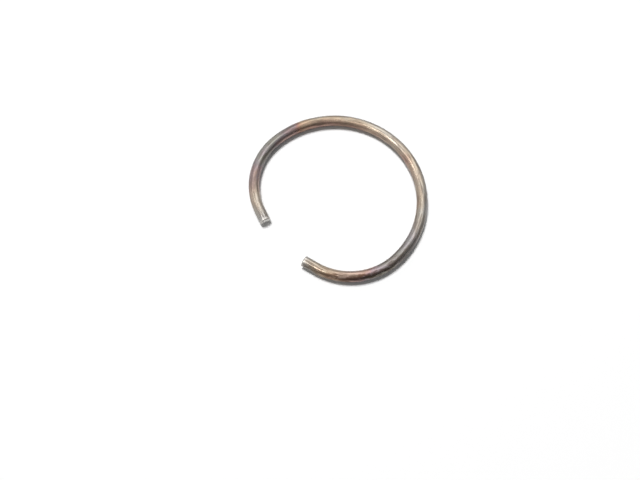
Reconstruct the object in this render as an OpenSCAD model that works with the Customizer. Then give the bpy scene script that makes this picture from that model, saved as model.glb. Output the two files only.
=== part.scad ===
// Round-wire retaining ring for a bore, drawn free and unsprung.
// One length of round spring wire: a half-circle back, two limbs coiled tighter than the back,
// and a short tail at each end that the coiling left straight. The cut ends face each other
// across the gap.
// The origin is the centre of the back, in the middle of the wire's thickness. The ring lies
// flat with its axis along +Z, and the gap is on the -Y side.

/* [Wire] */
// Diameter of the round spring wire
wire_d = 1.6; // [1:0.1:3]

/* [Ring form] */
// Outside diameter of the half-circle back, which seats in the groove
ring_od = 27.1; // [24:0.1:40]
// Outside radius of the two limbs
limb_r = 10.25; // [9.5:0.05:11.5]
// Gap from the middle of one cut end to the middle of the other
gap_w = 8.1; // [6:0.1:10]

/* [Cut ends] */
// Radius rolled onto the rim of each end face
rim_r = 0.16; // [0.05:0.01:0.3]
// Height of the smooth sheared band, from the top of the end face
shear_h = 0.9; // [0.5:0.05:1.4]
// Angle at which the metal broke away below the sheared band
break_angle = 14; // [4:1:20]

/* [Hidden] */
$fn = 96;
wire_r = wire_d / 2;
// Radii of the wire's centre line, in the back and in the limbs
back_path_r = ring_od / 2 - wire_r;
limb_path_r = limb_r - wire_r;
// Each limb's centre lies on the line between the ring's centre and the end of the back, so
// the two arcs meet tangent there
limb_x = back_path_r - limb_path_r;
// Angle that each limb turns through, from the end of the back to the start of its tail. It is
// the angle of a triangle with sides 7, 24 and 25, so its sine and cosine are round numbers and
// the arcs and the tail meet exactly.
limb_turn = atan2(24, 7);
// Length of the straight tail, which closes the ring to the width of its gap
tail_l = (limb_x + limb_path_r * cos(limb_turn) - gap_w / 2) / sin(limb_turn);
// Wire beyond the end face that the cutter takes off
trim_l = 0.4;
// Room between the wire and the cutter's skirt, so that the rolled rim meets the wire at a
// definite angle
skirt_clear = 0.03;

// A length of the wire bent about the Z axis, from one angle through another
module bent_wire(path_r, from, turn)
    rotate_extrude(angle = turn, start = from)
        translate([path_r, 0])
            circle(r = wire_r);

// Section of the shear cutter about the wire's own axis: flat across the end face, with a
// skirt that goes down round the rim and rolls it over
module cutter_profile()
    difference() {
        translate([0, -rim_r])
            square(wire_d);
        translate([0, -wire_d])
            square([wire_r + skirt_clear - rim_r, wire_d]);
        translate([wire_r + skirt_clear - rim_r, -rim_r])
            circle(r = rim_r);
    }

// What the shear takes from an end that points up +Z, with the ring's top side towards -X.
// The sheared band is square to the wire, and the broken part below it leans back.
module shear_cut() {
    rotate_extrude()
        cutter_profile();
    translate([shear_h - wire_r, -wire_d, 0])
        rotate([0, break_angle, 0])
            cube([2 * wire_d, 2 * wire_d, wire_d]);
}

// The straight tail, from the end of its limb's arc along +Z to the cut end
module tail()
    difference() {
        cylinder(r = wire_r, h = tail_l + trim_l);
        translate([0, 0, tail_l])
            rotate([0, 0, -90])
                shear_cut();
    }

// The limb on the +X side, from the end of the back to its cut end. Its arc is drawn from the
// start of the tail back through a quarter turn, and what lies past the back's end is cut off.
module limb()
    translate([limb_x, 0, 0])
        difference() {
            rotate([0, 0, -limb_turn]) {
                bent_wire(limb_path_r, 0, 90);
                translate([limb_path_r, 0, 0])
                    rotate([90, 0, 0])
                        tail();
            }
            translate([0, 0, -wire_d])
                cube(2 * limb_r);
        }

module ring()
    color([0.58, 0.53, 0.48]) {
        bent_wire(back_path_r, 0, 180);
        limb();
        mirror([1, 0, 0])
            limb();
    }

ring();
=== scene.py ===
import math

import bpy
import numpy as np
from mathutils import Matrix, Vector


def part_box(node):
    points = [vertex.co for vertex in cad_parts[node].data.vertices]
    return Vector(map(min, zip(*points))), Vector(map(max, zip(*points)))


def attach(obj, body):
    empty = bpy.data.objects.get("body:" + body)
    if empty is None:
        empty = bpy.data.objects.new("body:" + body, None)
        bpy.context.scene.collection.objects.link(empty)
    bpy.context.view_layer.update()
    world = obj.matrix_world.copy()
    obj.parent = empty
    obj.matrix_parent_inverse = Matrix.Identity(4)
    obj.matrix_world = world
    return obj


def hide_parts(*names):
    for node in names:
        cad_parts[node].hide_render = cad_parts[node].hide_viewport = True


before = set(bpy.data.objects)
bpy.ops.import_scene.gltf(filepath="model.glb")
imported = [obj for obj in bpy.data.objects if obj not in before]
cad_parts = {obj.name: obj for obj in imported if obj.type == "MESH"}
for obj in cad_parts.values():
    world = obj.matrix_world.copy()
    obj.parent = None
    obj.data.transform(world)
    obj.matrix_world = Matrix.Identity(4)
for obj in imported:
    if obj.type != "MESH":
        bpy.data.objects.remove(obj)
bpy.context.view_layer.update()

MM = 0.001

# Sizes of the ring, in metres. The limbs' radius and the gap are those of the part's source.
ring_low, ring_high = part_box("ring")
WIRE_R = (ring_high.z - ring_low.z) / 2
BACK_R = ring_high.x - WIRE_R
LIMB_R = 0.00945
GAP = 0.0081
LIMB_SHIFT = BACK_R - LIMB_R
LIMB_TURN = math.atan2(24, 7)
TAIL = (LIMB_SHIFT + LIMB_R * math.cos(LIMB_TURN) - GAP / 2) / math.sin(LIMB_TURN)
# Distances along the wire from the middle of the back, to where the back, the limb and the
# tail end
QUARTER = BACK_R * math.pi / 2
TAIL_START = QUARTER + LIMB_R * LIMB_TURN
HALF_LENGTH = TAIL_START + TAIL

# Form of the cut ends, in metres: the rim's radius at the top and bottom, the height of the
# sheared band, the lean and step of the broken part, how far back the wire's rows give way to
# it, and the roughness of both
RIM_TOP = 0.00016
RIM_BOTTOM = 0.00008
SHEAR_BAND = 0.0009
BREAK_SLOPE = math.tan(math.radians(14))
BREAK_STEP = 0.00003
BREAK_BLEND = 0.0014
BREAK_GRAIN = 0.000016
SHEAR_GRAIN = 0.000003
# How far short of the end the plain rows of the wire stop, in radii of the rim
PLAIN_SHORT = 1.4
# Where on the end face the wire's relief has faded out, as a share of the radius
RELIEF_FROM = 0.6

# Lines from the drawing die: how many go round the wire, and their depth in thousandths of a
# millimetre
DIE_LINES = ((7, 1.6), (13, 1.1), (19, 1.0), (31, 0.8), (43, 0.6))
# Distances in which a line drifts aside and back, slowly and quickly, in millimetres
SLOW_DRIFT = 4.1
QUICK_DRIFT = 1.3

# Flats from the coiling rollers: depth in millimetres, and half width as an angle
OUTER_FLAT = (0.012, 0.32)
INNER_FLAT = (0.009, 0.26)

# Knocks from handling: how many, their length along the wire and depth in millimetres, and
# their width as an angle
DENTS = 46
DENT_LENGTH = (0.12, 0.5)
DENT_DEPTH = (0.003, 0.012)
DENT_WIDTH = (0.06, 0.2)

# Fineness of the mesh: points round the wire, and rows along it, over the rim and on the face
AROUND = 128
TUBE_ROWS = 620
RIM_ROWS = 6
FACE_ROWS = 15


# The wire's form

def wire_path(along):
    """Centre line of the bent wire, at distances along it from the middle of the back.

    Up to a quarter turn each way it is a circle about the ring's centre. Past that it is a
    tighter circle whose centre lies on the X axis, so that the two meet tangent, and its last
    stretch is straight. Gives x and y, and the x and y of the direction that points out of
    the ring.
    """
    side = np.sign(along)
    reach = np.abs(along)
    in_back = reach < QUARTER
    past = np.maximum(reach - TAIL_START, 0)
    turn = np.where(in_back, reach / BACK_R, math.pi / 2 + (reach - past - QUARTER) / LIMB_R)
    radius = np.where(in_back, BACK_R, LIMB_R)
    shift = np.where(in_back, 0.0, LIMB_SHIFT)
    out_x = side * np.sin(turn)
    out_y = np.cos(turn)
    x = side * shift + radius * out_x + past * side * out_y
    y = radius * out_y - past * np.abs(out_x)
    return x, y, out_x, out_y


def drawn_relief(along, around):
    """Depth of the lines that the drawing die left along the wire.

    A sum of waves round the wire, each a whole number to the turn so that they close, whose
    phase drifts slowly along it. The deeper ones are few and the finer ones many.
    """
    depth = np.zeros(np.broadcast(along, around).shape)
    for index, (count, height) in enumerate(DIE_LINES):
        drift = 0.9 * np.sin(along / (SLOW_DRIFT * MM) + 1.7 * index)
        drift = drift + 0.4 * np.sin(along / (QUICK_DRIFT * MM) + index)
        depth += height * (0.5 + 0.5 * np.sin(count * around + drift + 2.1 * index))
    return depth * 0.001 * MM


def rolled_flats(around):
    """Depth of the slight flats that the coiling rollers left inside and outside the bend.

    Two bell curves round the wire, centred on the outward and the inward side.
    """
    outer_depth, outer_width = OUTER_FLAT
    inner_depth, inner_width = INNER_FLAT
    outer = np.exp(-((around - math.pi / 2) / outer_width) ** 2)
    inner = np.exp(-((around - 3 * math.pi / 2) / inner_width) ** 2)
    return (outer_depth * outer + inner_depth * inner) * MM


def handling_dents(along, around):
    """Depth of small knocks and tool marks, as smooth dimples set at random along the wire.

    Each dimple falls off as a bell curve, longer along the wire than round it.
    """
    draw = np.random.default_rng(51)
    place = draw.uniform(-HALF_LENGTH, HALF_LENGTH, DENTS)
    turn = draw.uniform(0, 2 * math.pi, DENTS)
    length = draw.uniform(*DENT_LENGTH, DENTS) * MM
    width = draw.uniform(*DENT_WIDTH, DENTS)
    deep = draw.uniform(*DENT_DEPTH, DENTS) * MM
    depth = np.zeros(np.broadcast(along, around).shape)
    for index in range(DENTS):
        swing = (around - turn[index] + math.pi) % (2 * math.pi) - math.pi
        fall = ((along - place[index]) / length[index]) ** 2 + (swing / width[index]) ** 2
        depth += deep[index] * np.exp(-fall)
    return depth


def broken_depth(up):
    """How far the end face lies below the sheared band, at heights in the wire's section."""
    return np.maximum((1 - up) * WIRE_R - SHEAR_BAND, 0)


def end_relief(up, out):
    """How far the end face stands back from a plane square to the wire.

    The sheared band is flat but for fine upright scores. Below it the face drops a small
    step and leans back, and its surface is a rough sum of waves in both directions.
    """
    below = broken_depth(up)
    broken = np.clip(below / BREAK_STEP, 0, 1)
    scores = np.sin(23 * out) + 0.7 * np.sin(41 * out + 1.3) + 0.5 * np.sin(67 * out + 0.4)
    grain = (np.sin(17 * out + 3 * up) * np.sin(13 * up - 5 * out)
             + 0.7 * np.sin(29 * out - 11 * up + 1) * np.sin(31 * up + 7 * out))
    band = SHEAR_GRAIN * scores
    rough = BREAK_STEP + BREAK_SLOPE * below + BREAK_GRAIN * grain
    return (1 - broken) * band + broken * rough


def end_cap(around):
    """One cut end, from where the rim starts to roll over to the middle of the face.

    The rim is a quarter circle, rounder at the top where the blade came down than at the
    bottom. The face goes in to the wire's centre in rings. Gives the distance short of the
    end and the distance from the wire's centre line as a share of its radius.
    """
    rim = (RIM_TOP + RIM_BOTTOM) / 2 + (RIM_TOP - RIM_BOTTOM) / 2 * np.cos(around)
    roll = np.linspace(0, math.pi / 2, RIM_ROWS)[:, None]
    rim_short = rim * (1 - np.sin(roll))
    rim_share = 1 - rim / WIRE_R * (1 - np.cos(roll))
    rings = np.linspace(1, 0, FACE_ROWS + 1)[1:-1, None]
    face_share = (1 - rim / WIRE_R) * rings
    face_short = np.zeros_like(face_share)
    return np.vstack([rim_short, face_short]), np.vstack([rim_share, face_share])


def wire_surface():
    """The whole wire as rows round it, from one end's middle to the other's.

    Each row is a circle about the centre line, with the relief taken off its radius. Near an
    end, rows slip back along the wire as far as the face does there, so none cross. Gives the
    points, the two middles, each point's distance along the wire and its height and outward
    place in the section, and the middles' distances along the wire.
    """
    around = np.linspace(0, 2 * math.pi, AROUND, endpoint=False)[None, :]
    short, share = end_cap(around)
    plain = HALF_LENGTH - RIM_TOP * PLAIN_SHORT
    tube = np.linspace(-plain, plain, TUBE_ROWS)[:, None] + 0 * around
    cap = HALF_LENGTH - short
    along = np.vstack([-cap[::-1], tube, cap])
    share = np.vstack([share[::-1], np.ones_like(tube), share])
    up = share * np.cos(around)
    out = share * np.sin(around)
    near_end = np.clip(1 - (HALF_LENGTH - np.abs(along)) / BREAK_BLEND, 0, 1) ** 2
    along = along - np.sign(along) * near_end * end_relief(up, out)
    x, y, out_x, out_y = wire_path(along)
    skin = np.clip((share - RELIEF_FROM) / (1 - RELIEF_FROM), 0, 1)
    relief = drawn_relief(along, around) + rolled_flats(around) + handling_dents(along, around)
    radius = WIRE_R * share - relief * skin
    side = radius * np.sin(around)
    rise = radius * np.cos(around) + 0 * along
    points = np.stack([x + side * out_x, y + side * out_y, rise], axis=-1)
    middle_along = np.array([-HALF_LENGTH, HALF_LENGTH])
    middle_along -= np.sign(middle_along) * end_relief(np.zeros(2), np.zeros(2))
    mx, my, _, _ = wire_path(middle_along)
    middles = np.stack([mx, my, np.zeros(2)], axis=-1)
    return points, middles, along, up, out, middle_along


def wire_faces(rows):
    """Quads between neighbouring rows, and a fan of triangles round each end's middle."""
    ring = np.arange(AROUND)
    nxt = (ring + 1) % AROUND
    first = np.arange(rows - 1)[:, None] * AROUND
    after = first + AROUND
    quads = np.stack([first + ring, after + ring, after + nxt, first + nxt], axis=-1)
    start, end = rows * AROUND, rows * AROUND + 1
    last = (rows - 1) * AROUND
    fan_a = np.stack([np.full(AROUND, start), ring, nxt], axis=-1)
    fan_b = np.stack([np.full(AROUND, end), last + nxt, last + ring], axis=-1)
    return quads.reshape(-1, 4).tolist() + fan_a.tolist() + fan_b.tolist()


def keep(mesh, name, kind, field, values):
    """Keeps values for every point as an attribute of the mesh."""
    mesh.attributes.new(name, kind, "POINT").data.foreach_set(field, values)


def build_wire():
    """The ring's mesh, with the wire's own coordinates kept as attributes for its finish.

    wire_co is the distance along the wire and the height and outward place in its section,
    all in millimetres. from_end is the distance to the nearer cut end. broken is 1 where the
    end face broke away and 0 where it was sheared.
    """
    points, middles, along, up, out, middle_along = wire_surface()
    rows = len(points)
    vertices = np.vstack([points.reshape(-1, 3), middles])
    mesh = bpy.data.meshes.new("ring_wire")
    mesh.from_pydata(vertices.tolist(), [], wire_faces(rows))
    mesh.polygons.foreach_set("use_smooth", np.ones(len(mesh.polygons), bool))
    all_along = np.concatenate([along.ravel(), middle_along])
    all_up = np.concatenate([up.ravel(), np.zeros(2)])
    all_out = np.concatenate([out.ravel(), np.zeros(2)])
    section = WIRE_R / MM
    wire_co = np.stack([all_along / MM, all_up * section, all_out * section], axis=-1)
    keep(mesh, "wire_co", "FLOAT_VECTOR", "vector", wire_co.ravel())
    keep(mesh, "from_end", "FLOAT", "value", (HALF_LENGTH - np.abs(all_along)) / MM)
    keep(mesh, "broken", "FLOAT", "value", np.clip(broken_depth(all_up) / BREAK_STEP, 0, 1))
    face_rows = FACE_ROWS - 1
    quad_row = np.repeat(np.arange(rows - 1), AROUND)
    on_face = (quad_row < face_rows) | (quad_row >= rows - 1 - face_rows)
    slots = np.concatenate([on_face, np.ones(2 * AROUND, bool)]).astype(np.int32)
    mesh.materials.append(tempered_wire())
    mesh.materials.append(cut_face())
    mesh.polygons.foreach_set("material_index", slots)
    mesh.update()
    wire = bpy.data.objects.new("ring_wire", mesh)
    bpy.context.scene.collection.objects.link(wire)
    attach(wire, "root")
    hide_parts("ring")
    return wire


# Helpers for shader nodes

def srgb(red, green, blue):
    """A colour as it is seen, in steps of 0 to 255, turned into the linear light of a shader."""
    seen = np.array([red, green, blue]) / 255
    linear = np.where(seen <= 0.04045, seen / 12.92, ((seen + 0.055) / 1.055) ** 2.4)
    return (*linear.tolist(), 1.0)


def join(tree, node, inputs):
    """Links each input to the socket that is given for it, or sets it to the value."""
    for socket, value in inputs.items():
        if isinstance(value, bpy.types.NodeSocket):
            tree.links.new(value, node.inputs[socket])
        else:
            node.inputs[socket].default_value = value


def add(tree, kind, inputs=None, **settings):
    """Adds a node, sets its properties, and joins or sets each input that is given."""
    node = tree.nodes.new(kind)
    for name, value in settings.items():
        setattr(node, name, value)
    join(tree, node, inputs or {})
    return node


def attribute(tree, name, output="Fac"):
    """An attribute of the piece's own mesh."""
    return add(tree, "ShaderNodeAttribute", attribute_name=name).outputs[output]


def new_material(name):
    """A material with one Principled shader. Gives the material, its tree and the shader."""
    material = bpy.data.materials.new(name)
    material.use_nodes = True
    return material, material.node_tree, material.node_tree.nodes["Principled BSDF"]


def calculate(tree, operation, first, second, clamp=False):
    """Works out one value from two. clamp keeps it between 0 and 1."""
    given = {0: first, 1: second}
    return add(tree, "ShaderNodeMath", given, operation=operation, use_clamp=clamp).outputs[0]


def plus(tree, first, second, clamp=False):
    return calculate(tree, "ADD", first, second, clamp)


def minus(tree, first, second):
    return calculate(tree, "SUBTRACT", first, second)


def times(tree, first, second, clamp=False):
    return calculate(tree, "MULTIPLY", first, second, clamp)


def spread(tree, value, low, high, to_low=0.0, to_high=1.0):
    """Maps a value from one range to another, smoothly and without going past its ends."""
    ends = {"From Min": low, "From Max": high, "To Min": to_low, "To Max": to_high}
    inputs = {"Value": value, **ends}
    return add(tree, "ShaderNodeMapRange", inputs, interpolation_type="SMOOTHSTEP").outputs["Result"]


def mix_colour(tree, factor, first, second, blend_type="MIX"):
    """Mixes two colours, or multiplies the first by the second, as far as the factor goes."""
    inputs = {0: factor, 6: first, 7: second}
    return add(tree, "ShaderNodeMix", inputs, data_type="RGBA", blend_type=blend_type).outputs[2]


def colour_ramp(tree, factor, stops):
    """A ramp of (place, colour) stops."""
    node = add(tree, "ShaderNodeValToRGB", {"Fac": factor})
    elements = node.color_ramp.elements
    while len(elements) < len(stops):
        elements.new(0.5)
    for element, (place, colour) in zip(elements, stops):
        element.position = place
        element.color = colour
    return node.outputs["Color"]


def stretched(tree, vector, scale, offset=(0, 0, 0)):
    """Coordinates scaled apart in each direction, and moved so that two patterns differ."""
    inputs = {"Vector": vector, "Location": offset, "Scale": scale}
    return add(tree, "ShaderNodeMapping", inputs).outputs["Vector"]


def noise(tree, vector, scale, detail=2.0, roughness=0.5):
    """Smooth random values about 0.5, with this many patches to the unit."""
    inputs = {"Vector": vector, "Scale": scale, "Detail": detail, "Roughness": roughness}
    return add(tree, "ShaderNodeTexNoise", inputs).outputs["Fac"]


def new_group(name, inputs, outputs):
    """A node group with these sockets. Gives the group, its input node and its output node."""
    group = bpy.data.node_groups.new(name, "ShaderNodeTree")
    for socket, kind, value in inputs:
        made = group.interface.new_socket(socket, in_out="INPUT", socket_type="NodeSocket" + kind)
        if value is not None:
            made.default_value = value
    for socket, kind in outputs:
        group.interface.new_socket(socket, in_out="OUTPUT", socket_type="NodeSocket" + kind)
    return group, group.nodes.new("NodeGroupInput"), group.nodes.new("NodeGroupOutput")


def place_group(tree, group, inputs):
    """Places a shared group in a tree with its own values. Gives the group's outputs."""
    node = tree.nodes.new("ShaderNodeGroup")
    node.node_tree = group
    join(tree, node, inputs)
    return node.outputs


# Finishes of the steel

# Colours of the temper film, from the thinnest to the thickest
FILM_COLOURS = (
    (0.00, srgb(146, 144, 142)),
    (0.12, srgb(153, 147, 138)),
    (0.25, srgb(159, 146, 130)),
    (0.38, srgb(162, 142, 126)),
    (0.50, srgb(155, 128, 118)),
    (0.60, srgb(143, 121, 122)),
    (0.68, srgb(133, 124, 127)),
    (0.78, srgb(135, 133, 126)),
    (0.88, srgb(138, 137, 127)),
    (1.00, srgb(148, 142, 130)),
)

# The film along the wire, from the upper left end to the lower left one: the place, the film's
# thickness there, how much thicker it is inside the bend than outside, and its depth of colour
FILM_ALONG = (
    (0.00, 0.03, 0.00, 0.7),
    (0.05, 0.24, -0.10, 0.9),
    (0.09, 0.52, 0.00, 0.7),
    (0.125, 0.60, 0.00, 0.8),
    (0.15, 0.78, 0.00, 0.8),
    (0.20, 0.77, -0.10, 0.9),
    (0.235, 0.66, -0.20, 0.8),
    (0.27, 0.48, 0.04, 1.3),
    (0.30, 0.25, 0.26, 1.1),
    (0.35, 0.29, 0.22, 1.1),
    (0.40, 0.23, 0.24, 1.1),
    (0.45, 0.20, 0.30, 1.0),
    (0.50, 0.20, 0.05, 0.9),
    (0.55, 0.27, 0.26, 1.0),
    (0.60, 0.20, 0.14, 0.9),
    (0.65, 0.15, 0.26, 1.0),
    (0.70, 0.17, 0.08, 0.7),
    (0.725, 0.50, 0.00, 0.15),
    (0.75, 0.74, 0.00, 0.5),
    (0.82, 0.74, 0.00, 1.0),
    (0.855, 0.57, -0.24, 1.0),
    (0.90, 0.44, -0.04, 0.9),
    (0.95, 0.31, -0.08, 1.1),
    (1.00, 0.06, 0.00, 0.8),
)

# Depth of the painted shade along the wire, a darker band on the lower stretch, at places from the
# upper left end to the lower left one
PAINTED_SHADE_ALONG = (
    (0.68, 0.0),
    (0.76, 0.35),
    (0.82, 0.8),
    (0.86, 1.0),
    (0.91, 0.95),
    (0.95, 0.75),
    (0.99, 0.5),
    (1.0, 0.0),
)

BARE_STEEL = srgb(180, 176, 171)
SOOT = srgb(82, 69, 60)
# The colour by which the painted shade multiplies the wire's colour
PAINTED_SHADE = srgb(176, 162, 150)

# Colours of the cut faces, from the dull places to the clean ones: the steel's own bright colour,
# lifted paler still as painted light, since the faces mirror the ring's shadow on the floor
SHEARED_STEEL_AND_PAINTED_LIGHT = (srgb(205, 203, 199), srgb(240, 238, 234))
BROKEN_STEEL_AND_PAINTED_LIGHT = (srgb(186, 182, 177), srgb(238, 235, 230))

# Roughness of the wire on its dull lines and its clean metal, and of a cut face on its sheared
# band and its broken part
WIRE_ROUGHNESS = (0.40, 0.25)
FACE_ROUGHNESS = (0.34, 0.60)

# Depth of the relief that is finer than the mesh, in metres
WIRE_RELIEF = 0.00003
FACE_RELIEF = 0.00008


def place_along(tree, parts, length):
    """The place along the wire, from 0 at the upper left end to 1 at the lower left one."""
    return plus(tree, calculate(tree, "DIVIDE", parts.outputs["X"], length), 0.5)


def painted_shade_group():
    """Painted shade: a darker band along one shoulder of the wire, between its top and its outside,
    where on the lower stretch the metal faces the dim side in front.

    Its edge is broken up by the drawn lines, and its depth follows the zones along the wire.
    """
    group, given, made = new_group(
        "painted_shade_band",
        [("Wire", "Vector", None), ("Length", "Float", 1.0), ("Streak", "Float", 0.5)],
        [("Mask", "Float")],
    )
    wire = given.outputs["Wire"]
    parts = add(group, "ShaderNodeSeparateXYZ", {"Vector": wire})
    stops = [(at, (depth, depth, depth, 1.0)) for at, depth in PAINTED_SHADE_ALONG]
    zone = colour_ramp(group, place_along(group, parts, given.outputs["Length"]), stops)
    shoulder = plus(group, parts.outputs["Y"], parts.outputs["Z"])
    shoulder = calculate(group, "DIVIDE", shoulder, WIRE_R / MM * math.sqrt(2))
    ragged = noise(group, stretched(group, wire, (0.3, 1.0, 1.0), (7, 3, 1)), 3.0, 4.0, 0.65)
    shoulder = plus(group, shoulder, spread(group, ragged, 0.3, 0.7, -0.26, 0.30))
    shoulder = minus(group, shoulder, times(group, given.outputs["Streak"], 0.22))
    join(group, made, {"Mask": times(group, spread(group, shoulder, 0.62, 0.86), zone)})
    return group


def drawn_lines_group():
    """Lines along the wire: noise squeezed hard across the wire and stretched along it.

    Height is the relief of the fine lines. Streak is 0 to 1, from dull lines to clean metal,
    at the width that the eye can pick out.
    """
    group, given, made = new_group(
        "drawn_lines",
        [("Wire", "Vector", None), ("Fineness", "Float", 8.0)],
        [("Height", "Float"), ("Streak", "Float")],
    )
    wire = given.outputs["Wire"]
    fineness = given.outputs["Fineness"]
    fine = noise(group, stretched(group, wire, (0.06, 1.0, 1.0), (3, 1, 7)), fineness, 3.0, 0.6)
    coarse = times(group, fineness, 0.4)
    broad = noise(group, stretched(group, wire, (0.09, 1.0, 1.0)), coarse, 3.0, 0.65)
    both = plus(group, times(group, broad, 0.65), times(group, fine, 0.35))
    join(group, made, {"Height": fine, "Streak": spread(group, both, 0.36, 0.60)})
    return group


def temper_film_group():
    """The oxide film's colour: its thickness runs through the colours of heat tint.

    The thickness follows the zones along the wire, leans from the outside of the bend to the
    inside, and wanders in soft patches.
    """
    group, given, made = new_group(
        "temper_film",
        [("Wire", "Vector", None), ("Length", "Float", 1.0), ("Wander", "Float", 0.45)],
        [("Color", "Color")],
    )
    wire = given.outputs["Wire"]
    parts = add(group, "ShaderNodeSeparateXYZ", {"Vector": wire})
    place = place_along(group, parts, given.outputs["Length"])
    sway = minus(group, noise(group, stretched(group, wire, (0.5, 1.0, 1.0)), 0.8, 2.0), 0.5)
    place = plus(group, place, times(group, sway, 0.06))
    # A ramp holds values from 0 to 1, so the lean and the depth of colour are halved in it, and
    # no lean is its middle
    stops = [(at, (film, lean / 2 + 0.5, depth / 2, 1.0)) for at, film, lean, depth in FILM_ALONG]
    zones = add(group, "ShaderNodeSeparateColor", {"Color": colour_ramp(group, place, stops)})
    patches = noise(group, stretched(group, wire, (0.35, 1.0, 1.0), (5, 2, 9)), 1.6, 4.0, 0.6)
    patches = times(group, minus(group, patches, 0.5), given.outputs["Wander"])
    inward = times(group, parts.outputs["Z"], -2.0)
    flank = times(group, minus(group, zones.outputs["Green"], 0.5), inward)
    film = plus(group, plus(group, zones.outputs["Red"], patches), flank, clamp=True)
    tint = {"Color": colour_ramp(group, film, FILM_COLOURS),
            "Saturation": times(group, zones.outputs["Blue"], 2.0)}
    join(group, made, {"Color": add(group, "ShaderNodeHueSaturation", tint).outputs["Color"]})
    return group


def handling_marks_group():
    """Dark specks and short scuffs, in patches.

    A fine noise shows fully where a coarse one is high, and faintly elsewhere.
    """
    group, given, made = new_group(
        "handling_marks",
        [("Wire", "Vector", None), ("Amount", "Float", 0.5)],
        [("Mask", "Float"), ("Height", "Float")],
    )
    wire = given.outputs["Wire"]
    patch = noise(group, stretched(group, wire, (0.6, 1.0, 1.0), (11, 4, 2)), 0.9, 2.0)
    patch = plus(group, spread(group, patch, 0.48, 0.68), 0.25)
    speck = noise(group, stretched(group, wire, (0.7, 1.0, 1.0), (2, 8, 5)), 9.0, 3.0, 0.7)
    mask = times(group, spread(group, speck, 0.52, 0.66), patch)
    mask = times(group, mask, given.outputs["Amount"], clamp=True)
    join(group, made, {"Mask": mask, "Height": times(group, mask, -1.0)})
    return group


SHARED = {
    "painted_shade": painted_shade_group(),
    "lines": drawn_lines_group(),
    "film": temper_film_group(),
    "marks": handling_marks_group(),
}


def tempered_wire():
    """Drawn spring wire with its temper film, worn through to bare steel at the cut ends, with
    painted shade along one shoulder of the lower stretch.
    """
    material, tree, shader = new_material("tempered_wire")
    wire = attribute(tree, "wire_co", "Vector")
    from_end = attribute(tree, "from_end")
    length = 2 * HALF_LENGTH / MM
    lines = place_group(tree, SHARED["lines"], {"Wire": wire, "Fineness": 8.0})
    film = place_group(tree, SHARED["film"], {"Wire": wire, "Length": length, "Wander": 0.45})
    near_end = spread(tree, from_end, 0.2, 1.6, 1.8, 0.7)
    marks = place_group(tree, SHARED["marks"], {"Wire": wire, "Amount": near_end})
    given = {"Wire": wire, "Length": length, "Streak": lines["Streak"]}
    painted_shade = place_group(tree, SHARED["painted_shade"], given)
    dull = spread(tree, lines["Streak"], 0.0, 1.0, 0.62, 0.0)
    streaked = mix_colour(tree, dull, film["Color"], SOOT)
    marked = mix_colour(tree, times(tree, marks["Mask"], 0.55), streaked, SOOT)
    # Painted shade: darkens the colour along one shoulder of the lower stretch
    marked = mix_colour(tree, painted_shade["Mask"], marked, PAINTED_SHADE, "MULTIPLY")
    ragged = plus(tree, from_end, times(tree, lines["Height"], 0.8))
    bare = spread(tree, ragged, 0.45, 1.0, 0.75, 0.0)
    roughness = spread(tree, lines["Streak"], 0.0, 1.0, *WIRE_ROUGHNESS)
    height = plus(tree, lines["Height"], times(tree, marks["Height"], 0.5))
    relief = {"Height": height, "Strength": 0.5, "Distance": WIRE_RELIEF}
    join(tree, shader, {
        "Metallic": 1.0,
        "Base Color": mix_colour(tree, bare, marked, BARE_STEEL),
        "Roughness": plus(tree, roughness, times(tree, marks["Mask"], 0.2)),
        "Normal": add(tree, "ShaderNodeBump", relief).outputs["Normal"],
    })
    return material


def cut_face():
    """The cut end: bright sheared steel with upright scores, and dull broken metal below, both
    lifted paler as painted light.
    """
    material, tree, shader = new_material("cut_face")
    wire = attribute(tree, "wire_co", "Vector")
    broken = attribute(tree, "broken")
    scores = noise(tree, stretched(tree, wire, (1.0, 0.12, 1.0)), 14.0, 3.0, 0.6)
    grain = noise(tree, wire, 11.0, 4.0, 0.7)
    marks = place_group(tree, SHARED["marks"], {"Wire": wire, "Amount": 0.5})
    sheared = mix_colour(tree, spread(tree, scores, 0.35, 0.65), *SHEARED_STEEL_AND_PAINTED_LIGHT)
    torn = mix_colour(tree, spread(tree, grain, 0.35, 0.65), *BROKEN_STEEL_AND_PAINTED_LIGHT)
    clean = mix_colour(tree, broken, sheared, torn)
    height = plus(tree, times(tree, scores, 0.4), times(tree, grain, broken))
    relief = {"Height": height, "Strength": 0.8, "Distance": FACE_RELIEF}
    join(tree, shader, {
        "Metallic": 1.0,
        "Base Color": mix_colour(tree, times(tree, marks["Mask"], 0.4), clean, SOOT),
        "Roughness": spread(tree, broken, 0.0, 1.0, *FACE_ROUGHNESS),
        "Normal": add(tree, "ShaderNodeBump", relief).outputs["Normal"],
    })
    return material


# Floor, light and camera

# Bearing and height of the photograph's view, in degrees, and how far the camera stands off
VIEW_BEARING = 46.96
VIEW_HEIGHT = 66.82
VIEW_DISTANCE = 8.802 * BACK_R
# Focal length and the ring's centre in the picture, in pixels of its 640 by 480 frame
FRAME_W = 640
FRAME_H = 480
FOCAL_PX = 772.5
CENTRE_PX = (333.98, 198.68)
SENSOR_MM = 36.0
CLIP_NEAR = 0.005
CLIP_FAR = 20.0

WHITE = (1.0, 1.0, 1.0, 1.0)
BLACK = (0.0, 0.0, 0.0, 1.0)

# The floor: half its width in metres, its colour, how much it glows of itself near the ring, and
# the distances from the ring between which the glow takes over
FLOOR_HALF = 3.0
FLOOR_COLOUR = (0.86, 0.86, 0.86, 1.0)
FLOOR_GLOW = 0.05
FLOOR_FADE = (0.12, 0.60)

# The room's light, where 1 is white: on its dim side, on its bright side, and the share of it
# that lights the floor
ROOM_DIM = 0.20
ROOM_BRIGHT = 1.3
ROOM_ON_FLOOR = 0.16
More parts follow.
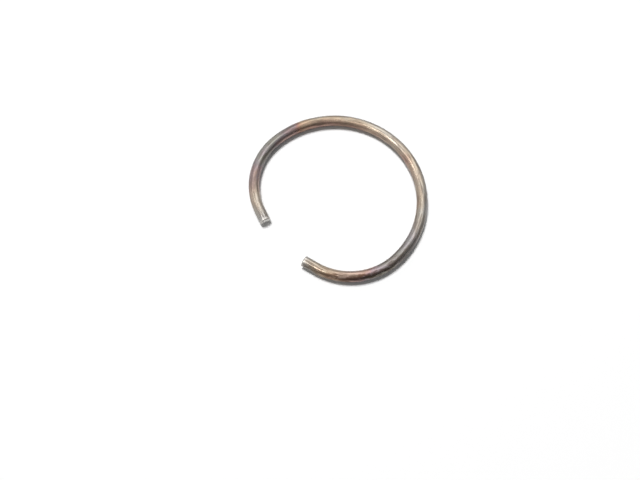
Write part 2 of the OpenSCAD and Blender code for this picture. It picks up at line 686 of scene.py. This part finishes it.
# Bearing from the view, and height, of the room's bright side, in degrees
BRIGHT_SIDE = (-138, 28)
# How far the room pales to white at the horizon
HORIZON = 0.6

# The lamps: name, bearing from the view and height in degrees, distance and size in metres, how
# bright the face looks, whether it lights the floor, and whether the metal mirrors it
LAMPS = (
    ("sun", -152, 70, 1.4, 0.38, 45.1, True, False),
    ("key", -86, 66, 0.35, 0.15, 6.0, False, True),
    ("window", 160, 50, 0.35, 0.30, 1.35, False, True),
)


def towards(bearing, height):
    """The direction from the ring at a bearing, 0 at -Y and turning to +X, and a height.

    The height is the angle above the floor.
    """
    a, e = math.radians(bearing), math.radians(height)
    return Vector((math.sin(a) * math.cos(e), -math.cos(a) * math.cos(e), math.sin(e)))


def in_view(tree):
    """1 for rays that the camera sends, straight or by way of metal or glass, and 0 for others."""
    path = add(tree, "ShaderNodeLightPath")
    seen = calculate(tree, "MAXIMUM", path.outputs["Is Camera Ray"], path.outputs["Is Glossy Ray"])
    return calculate(tree, "MAXIMUM", seen, path.outputs["Is Transmission Ray"])


def build_floor():
    """A pale floor that keeps the ring's shadow, and glows faintly so that the shadow is grey.

    Away from the ring the glow takes the place of the lit paper, so that the floor stays white
    out to the horizon.
    """
    half, low = FLOOR_HALF, -WIRE_R
    corners = [(-half, -half, low), (half, -half, low), (half, half, low), (-half, half, low)]
    mesh = bpy.data.meshes.new("floor")
    mesh.from_pydata(corners, [], [(0, 1, 2, 3)])
    material = bpy.data.materials.new("pale_floor")
    material.use_nodes = True
    tree = material.node_tree
    tree.nodes.clear()
    spot = add(tree, "ShaderNodeTexCoord").outputs["Object"]
    away = add(tree, "ShaderNodeVectorMath", {0: spot}, operation="LENGTH").outputs["Value"]
    far = spread(tree, away, *FLOOR_FADE)
    paper = add(tree, "ShaderNodeBsdfDiffuse", {"Color": mix_colour(tree, far, FLOOR_COLOUR, BLACK)})
    shine = plus(tree, times(tree, far, 1 - FLOOR_GLOW), FLOOR_GLOW)
    glow = add(tree, "ShaderNodeEmission", {"Strength": times(tree, in_view(tree), shine)})
    both = add(tree, "ShaderNodeAddShader", {0: paper.outputs[0], 1: glow.outputs[0]})
    add(tree, "ShaderNodeOutputMaterial", {"Surface": both.outputs[0]})
    mesh.materials.append(material)
    floor = bpy.data.objects.new("floor", mesh)
    bpy.context.scene.collection.objects.link(floor)


def build_world():
    """Soft room light: bright behind and to the left, dim in front.

    It pales at the horizon on the bright side only. The metal mirrors all of it, the floor gets
    a small share of it, and the camera sees plain white instead.
    """
    world = bpy.data.worlds.new("room")
    bpy.context.scene.world = world
    world.use_nodes = True
    tree = world.node_tree
    tree.nodes.clear()
    way = add(tree, "ShaderNodeTexCoord").outputs["Generated"]
    bright_side = towards(VIEW_BEARING + BRIGHT_SIDE[0], BRIGHT_SIDE[1])
    facing = {0: way, 1: bright_side}
    lean = add(tree, "ShaderNodeVectorMath", facing, operation="DOT_PRODUCT").outputs["Value"]
    room = spread(tree, lean, -0.75, 0.6, ROOM_DIM, ROOM_BRIGHT)
    height = add(tree, "ShaderNodeSeparateXYZ", {"Vector": way}).outputs["Z"]
    low_down = spread(tree, height, 0.0, 0.5, HORIZON, 0.0)
    horizon = times(tree, low_down, spread(tree, lean, -0.8, -0.1))
    mirrored = mix_colour(tree, horizon, room, WHITE)
    straight = add(tree, "ShaderNodeLightPath").outputs["Is Camera Ray"]
    seen = mix_colour(tree, straight, mirrored, WHITE)
    strength = spread(tree, in_view(tree), 0.0, 1.0, ROOM_ON_FLOOR, 1.0)
    background = add(tree, "ShaderNodeBackground", {"Color": seen, "Strength": strength})
    add(tree, "ShaderNodeOutputWorld", {"Surface": background.outputs[0]})


def build_lamp(name, bearing, height, distance, size, radiance, on_floor, in_metal):
    """A square soft box that faces the ring. radiance is how bright its face looks, 1 is white.

    A lamp that is not on_floor lights no dull surface, and is only mirrored in the metal. One
    that is not in_metal lights the floor and casts the shadow, and has no mirror image.
    """
    light = bpy.data.lights.new(name, "AREA")
    light.shape = "SQUARE"
    light.size = size
    light.energy = radiance * math.pi * size * size
    lamp = bpy.data.objects.new(name, light)
    way = towards(VIEW_BEARING + bearing, height)
    turned = way.to_track_quat("Z", "Y").to_matrix().to_4x4()
    lamp.matrix_world = Matrix.Translation(way * distance) @ turned
    lamp.visible_diffuse = on_floor
    lamp.visible_glossy = in_metal
    bpy.context.scene.collection.objects.link(lamp)


def build_camera():
    """The photograph's view. It looks down, turned so that the ring's centre is on its pixel."""
    camera = bpy.data.cameras.new("camera")
    camera.sensor_width = SENSOR_MM
    camera.lens = FOCAL_PX / FRAME_W * SENSOR_MM
    camera.clip_start = CLIP_NEAR
    camera.clip_end = CLIP_FAR
    eye = bpy.data.objects.new("camera", camera)
    back = towards(VIEW_BEARING, VIEW_HEIGHT)
    aimed = (-back).to_track_quat("-Z", "Y").to_matrix()
    ray = Vector((CENTRE_PX[0] - FRAME_W / 2, FRAME_H / 2 - CENTRE_PX[1], -FOCAL_PX))
    aside = Vector((0, 0, -1)).rotation_difference(ray).to_matrix()
    turned = (aimed @ aside.inverted()).to_4x4()
    eye.matrix_world = Matrix.Translation(back * VIEW_DISTANCE) @ turned
    bpy.context.scene.collection.objects.link(eye)
    bpy.context.scene.camera = eye


build_wire()
build_floor()
build_world()
for lamp in LAMPS:
    build_lamp(*lamp)
build_camera()
bpy.context.scene.view_settings.view_transform = "Standard"
